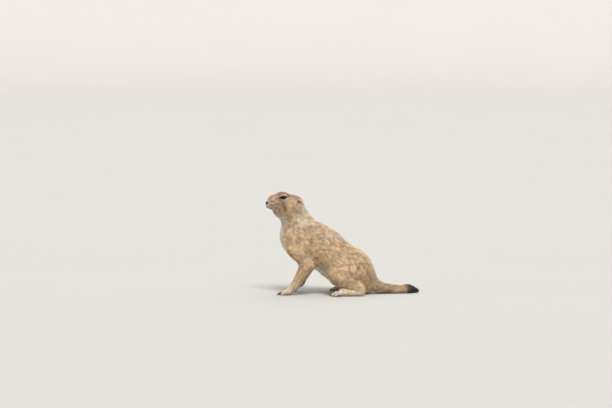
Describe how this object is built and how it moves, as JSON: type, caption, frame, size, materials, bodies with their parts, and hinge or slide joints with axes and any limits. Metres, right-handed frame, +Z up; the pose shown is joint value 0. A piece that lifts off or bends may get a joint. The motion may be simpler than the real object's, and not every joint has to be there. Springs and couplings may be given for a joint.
{
  "type": "prairie dog",
  "caption": "Life-size black-tailed prairie dog sitting on its haunches, forefeet on the floor, head raised and turned a little to its left.",
  "frame": {"origin": "middle of the bounding box's base, on the floor", "axes": "+X from the nose towards the tail, +Z up, the animal's left side towards -Y"},
  "size_m": [0.275, 0.116, 0.1827],
  "materials": {
    "coat": "short dense fur, yellowish buff with darker tips",
    "pale_coat": "short pale buff fur",
    "black_coat": "coarse black fur",
    "eye": "wet, glossy, nearly black",
    "nose_skin": "fine-grained dark skin, slightly damp",
    "claw": "dark horn, worn at the tips"
  },
  "bodies": {
    "root": {"head": "coat", "nose": "nose_skin", "eye_left": "eye", "eye_right": "eye", "ear_left": "pale_coat", "ear_right": "pale_coat", "neck": "coat", "trunk": "coat", "foreleg_left": "coat", "foreleg_right": "coat", "forepaw_left": "pale_coat", "forepaw_right": "pale_coat", "hindleg_left": "coat", "hindleg_right": "coat", "hindfoot_left": "pale_coat", "hindfoot_right": "pale_coat", "tail": "coat", "tail_tip": "black_coat"}
  },
  "joints": []
}
